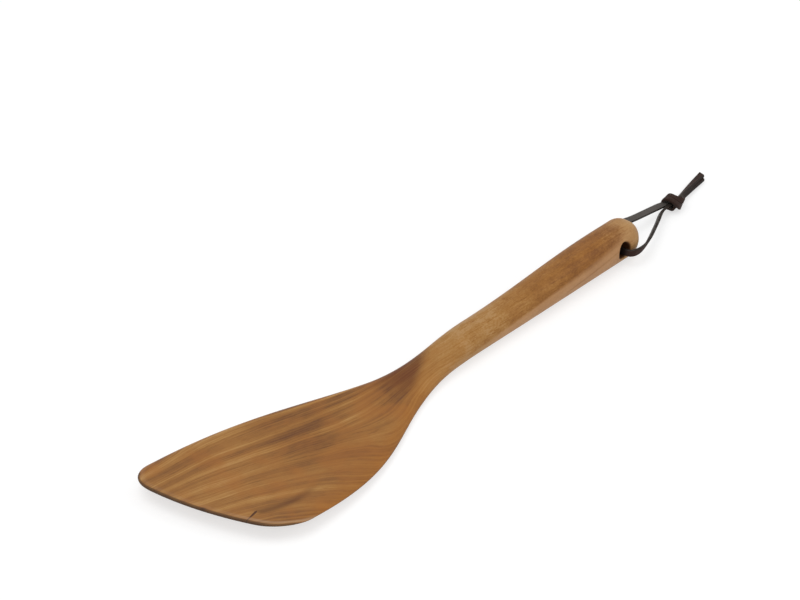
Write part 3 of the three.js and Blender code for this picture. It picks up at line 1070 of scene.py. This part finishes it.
def evenly(points, step):
    """The same line with its points a step apart, and the lengths along it."""
    along = lengths_along(points)
    at = np.linspace(0, along[-1], max(2, round(along[-1] / step)) + 1)
    return np.stack([np.interp(at, along, points[:, k]) for k in range(3)], axis=1), at


def unit(vectors):
    return vectors / np.linalg.norm(vectors, axis=-1, keepdims=True)


def leaning_run(route, lean, shift=0.0):
    """A lace along a route, leaning as told and shifted the way its broad face looks."""
    centres, along = evenly(centripetal(route) + HOLE_MIDDLE, LACE_STEP)
    heading = unit(np.gradient(centres, axis=0))
    upright = unit(np.array([0, 0, 1.0]) - heading * heading[:, 2:])
    level = np.cross(upright, heading)
    angle = np.radians(np.interp(along / along[-1], *zip(*lean)))[:, None]
    face = level * np.cos(angle) + upright * np.sin(angle)
    return Run(centres + shift * face, heading, face, along)


def knot_runs():
    """The two laces round the knot, side by side with their broad faces outwards."""
    middle, _ = evenly(centripetal(KNOT_ROUTE), LACE_STEP)
    heading = unit(np.gradient(middle, axis=0))
    face = middle * (0, 1, 1)
    for _ in range(KNOT_EASING):
        face[1:-1] = (face[:-2] + face[1:-1] + face[2:]) / 3
    face = unit(face - heading * np.sum(face * heading, axis=1, keepdims=True))
    sideways = np.cross(face, heading)
    cos, sin = math.cos(KNOT_HEADING), math.sin(KNOT_HEADING)
    turn = np.array([[cos, sin, 0], [-sin, cos, 0], [0, 0, 1]])
    runs = []
    for side in (-1, 1):
        centres = middle + side * KNOT_SPREAD * sideways
        place = centres @ turn + HOLE_MIDDLE + KNOT_MIDDLE
        heading = unit(np.gradient(centres, axis=0)) @ turn
        runs.append(Run(place, heading, -face @ turn, lengths_along(centres)))
    return runs


def flat_lace_tree():
    """Geometry Nodes that sweep a flat strip with rounded edges along a wire. The wire's points say
    which way the strip's broad face looks, and how far the cut of its end has begun."""
    sizes = dict.fromkeys(("Width", "Thickness", "Edge Round", "Cut Slant"), "Float")
    inputs = {"Geometry": "Geometry", **sizes, "Material": "Material"}
    tree, inside = new_group("flat_lace", "GeometryNodeTree", inputs, "Geometry", "Geometry")

    def stored(name, data_type):
        node = add(tree, "GeometryNodeInputNamedAttribute", {"Name": name}, data_type=data_type)
        return node.outputs["Attribute"]

    wire = add(tree, "GeometryNodeMeshToCurve", {"Mesh": inside["Geometry"]}).outputs["Curve"]
    facing = {"Curve": wire, "Normal": stored("broad_face", "FLOAT_VECTOR")}
    turned = add(tree, "GeometryNodeSetCurveNormal", facing, mode="FREE").outputs["Curve"]

    sides = {"Width": inside["Thickness"], "Height": inside["Width"]}
    outline = add(tree, "GeometryNodeCurvePrimitiveQuadrilateral", sides).outputs["Curve"]
    rounding = {"Radius": inside["Edge Round"], "Count": LACE_EDGE_STEPS, "Limit Radius": True}
    outline = add(
        tree, "GeometryNodeFilletCurve", {"Curve": outline, **rounding}, mode="POLY"
    ).outputs["Curve"]
    place = axes(tree, tree.nodes.new("GeometryNodeInputPosition").outputs["Position"])
    section = combine(tree, place["Y"], place["X"], 0.0)
    outline = add(
        tree,
        "GeometryNodeStoreNamedAttribute",
        {"Geometry": outline, "Name": "section", "Value": section},
        data_type="FLOAT_VECTOR",
        domain="POINT",
    ).outputs["Geometry"]

    swept = {"Curve": turned, "Profile Curve": outline, "Fill Caps": True}
    strip = add(tree, "GeometryNodeCurveToMesh", swept).outputs["Mesh"]
    from_middle = axes(tree, stored("section", "FLOAT_VECTOR"))["X"]
    shift = product(tree, from_middle, inside["Cut Slant"], stored("cut", "FLOAT"))
    moved = {0: stored("heading", "FLOAT_VECTOR"), "Scale": shift}
    offset = add(tree, "ShaderNodeVectorMath", moved, operation="SCALE").outputs["Vector"]
    for kind, inputs in [
        ("GeometryNodeSetPosition", {"Offset": offset}),
        ("GeometryNodeSetShadeSmooth", {}),
        ("GeometryNodeRealizeInstances", {}),
        ("GeometryNodeSetMaterial", {"Material": inside["Material"]}),
    ]:
        strip = add(tree, kind, {"Geometry": strip, **inputs}).outputs["Geometry"]
    tree.links.new(strip, tree.nodes.new("NodeGroupOutput").inputs["Geometry"])
    return tree


FLAT_LACE = flat_lace_tree()


def link(name, data):
    obj = bpy.data.objects.new(name, data)
    bpy.context.scene.collection.objects.link(obj)
    return obj


def lace_piece(name, runs, width=LACE_WIDTH, thickness=LACE_THICKNESS, cut_slant=0.0):
    """One or more runs of lace as a plain mesh."""
    centres = np.vstack([run.centres for run in runs]) * MM
    edges = []
    first = 0
    for run in runs:
        edges += [(i, i + 1) for i in range(first, first + len(run.centres) - 1)]
        first += len(run.centres)
    wire_mesh = bpy.data.meshes.new(name + "_wire")
    wire_mesh.from_pydata(centres.tolist(), edges, [])
    cut = [np.clip(1 - (run.along[-1] - run.along) / CUT_STRETCH, 0, 1) for run in runs]
    store(wire_mesh, "heading", np.vstack([run.heading for run in runs]))
    store(wire_mesh, "broad_face", np.vstack([run.face for run in runs]))
    store(wire_mesh, "along", np.concatenate([run.along for run in runs]) * MM)
    store(wire_mesh, "cut", np.concatenate(cut))

    wire = link(name + "_wire", wire_mesh)
    sweep = wire.modifiers.new("flat_lace", "NODES")
    sweep.node_group = FLAT_LACE
    sizes = {
        "Width": width * MM,
        "Thickness": thickness * MM,
        "Edge Round": LACE_EDGE_ROUND * MM,
        "Cut Slant": cut_slant,
        "Material": LEATHER,
    }
    for item in FLAT_LACE.interface.items_tree:
        if item.in_out == "INPUT" and item.name in sizes:
            sweep[item.identifier] = sizes[item.name]
    evaluated = wire.evaluated_get(bpy.context.evaluated_depsgraph_get())
    mesh = bpy.data.meshes.new_from_object(evaluated)
    mesh.name = name
    bpy.data.objects.remove(wire)
    return link(name, mesh)


body = link("turner_body", wooden_body_mesh())
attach(body, "turner")
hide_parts("wooden_body")

near_run = leaning_run(SHORT_SIDE_ROUTE, SHORT_SIDE_LEAN)
far_run = leaning_run(LONG_SIDE_ROUTE, LONG_SIDE_LEAN)
long_tail_run = leaning_run(LONG_TAIL_ROUTE, TAIL_LEAN, TAIL_CLOSING)
short_tail_run = leaning_run(SHORT_TAIL_ROUTE, TAIL_LEAN, -TAIL_CLOSING)

near_strand = lace_piece("lace_near_strand", [near_run])
far_strand = lace_piece("lace_far_strand", [far_run])
tail_size = TAIL_WIDTH, TAIL_THICKNESS
long_tail = lace_piece("lace_far_tail", [long_tail_run], *tail_size, LONG_TAIL_SLANT)
short_tail = lace_piece("lace_near_tail", [short_tail_run], *tail_size, SHORT_TAIL_SLANT)
knot = lace_piece("lace_overhand_knot", knot_runs(), KNOT_LACE_WIDTH)

for piece, node in [
    (knot, "lace_knot"),
    (near_strand, "lace_strand_short_side"),
    (far_strand, "lace_strand_long_side"),
    (long_tail, "lace_tail_long"),
    (short_tail, "lace_tail_short"),
]:
    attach(piece, "lace")
    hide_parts(node)


# Floor, light and camera, in metres

FLOOR_HALF = 4.0
FLOOR_GREY = (0.80, 0.80, 0.80)
FLOOR_GREY_SEEN = (0.42, 0.42, 0.42)
FLOOR_GLOW_SEEN = 0.63
WORLD_LIGHT = 0.62
WORLD_WHITE = 1.0
SOFTBOXES = {  # place, width and power of each
    "key_softbox": ((-0.3, 0.1, 1.3), 1.0, 5.0),
    "front_softbox": ((-0.9, -0.9, 0.8), 1.0, 3.4),
    "end_softbox": ((0.8, -0.8, 0.9), 0.8, 2.6),
}


def seen_directly(tree):
    """1 for the camera's rays and for those that a gloss or a glass sends on, 0 for other light."""
    rays = add(tree, "ShaderNodeLightPath").outputs
    seen = maths(tree, "MAXIMUM", rays["Is Camera Ray"], rays["Is Glossy Ray"])
    return maths(tree, "MAXIMUM", seen, rays["Is Transmission Ray"])


def floor_material():
    """A pale floor that meets the camera as white, and keeps the turner's shadow."""
    material, tree, shader = new_material("pale_floor")
    tree.nodes.remove(shader)
    seen = seen_directly(tree)
    grey = mix(tree, seen, FLOOR_GREY, FLOOR_GREY_SEEN)
    lit = add(tree, "ShaderNodeBsdfDiffuse", {"Color": grey}).outputs[0]
    strength = product(tree, seen, FLOOR_GLOW_SEEN)
    glow = add(tree, "ShaderNodeEmission", {"Strength": strength}).outputs[0]
    both = add(tree, "ShaderNodeAddShader", {0: lit, 1: glow}).outputs[0]
    tree.links.new(both, tree.nodes["Material Output"].inputs["Surface"])
    return material


def build_stage():
    mesh = bpy.data.meshes.new("floor")
    signs = [(-1, -1), (1, -1), (1, 1), (-1, 1)]
    corners = [(FLOOR_HALF * x, FLOOR_HALF * y, 0) for x, y in signs]
    mesh.from_pydata(corners, [], [(0, 1, 2, 3)])
    mesh.materials.append(floor_material())
    link("floor", mesh)

    world = bpy.data.worlds.new("studio")
    world.use_nodes = True
    tree = world.node_tree
    background = tree.nodes["Background"].inputs
    plug(tree, background["Color"], (1, 1, 1, 1))
    strength = mix_values(tree, seen_directly(tree), WORLD_LIGHT, WORLD_WHITE)
    plug(tree, background["Strength"], strength)
    bpy.context.scene.world = world


def add_softbox(name, place, width, power):
    lamp = bpy.data.lights.new(name, "AREA")
    lamp.shape = "DISK"
    lamp.size = width
    lamp.energy = power
    obj = link(name, lamp)
    obj.location = place
    obj.rotation_euler = (-Vector(place)).to_track_quat("-Z", "Y").to_euler()


# The camera, fitted to the photo: its distance and target are in millimetres
CAMERA_AZIMUTH = math.radians(-46.887)
CAMERA_ELEVATION = math.radians(34.0)
CAMERA_DISTANCE = 909.16
CAMERA_TARGET = (26.16, 44.68, 8.0)
CAMERA_LENS = 85.0
CAMERA_SENSOR = 36.0


def add_camera():
    data = bpy.data.cameras.new("photo_view")
    data.lens = CAMERA_LENS
    data.sensor_width = CAMERA_SENSOR
    camera = link("photo_view", data)
    level = math.cos(CAMERA_ELEVATION)
    back = Vector((
        math.sin(CAMERA_AZIMUTH) * level,
        -math.cos(CAMERA_AZIMUTH) * level,
        math.sin(CAMERA_ELEVATION),
    ))
    camera.location = (Vector(CAMERA_TARGET) + back * CAMERA_DISTANCE) * MM
    camera.rotation_mode = "QUATERNION"
    camera.rotation_quaternion = (-back).to_track_quat("-Z", "Y")
    bpy.context.scene.camera = camera


build_stage()
for softbox, (place, width, power) in SOFTBOXES.items():
    add_softbox(softbox, place, width, power)
add_camera()
bpy.context.scene.view_settings.view_transform = "Standard"

bpy.context.view_layer.update()
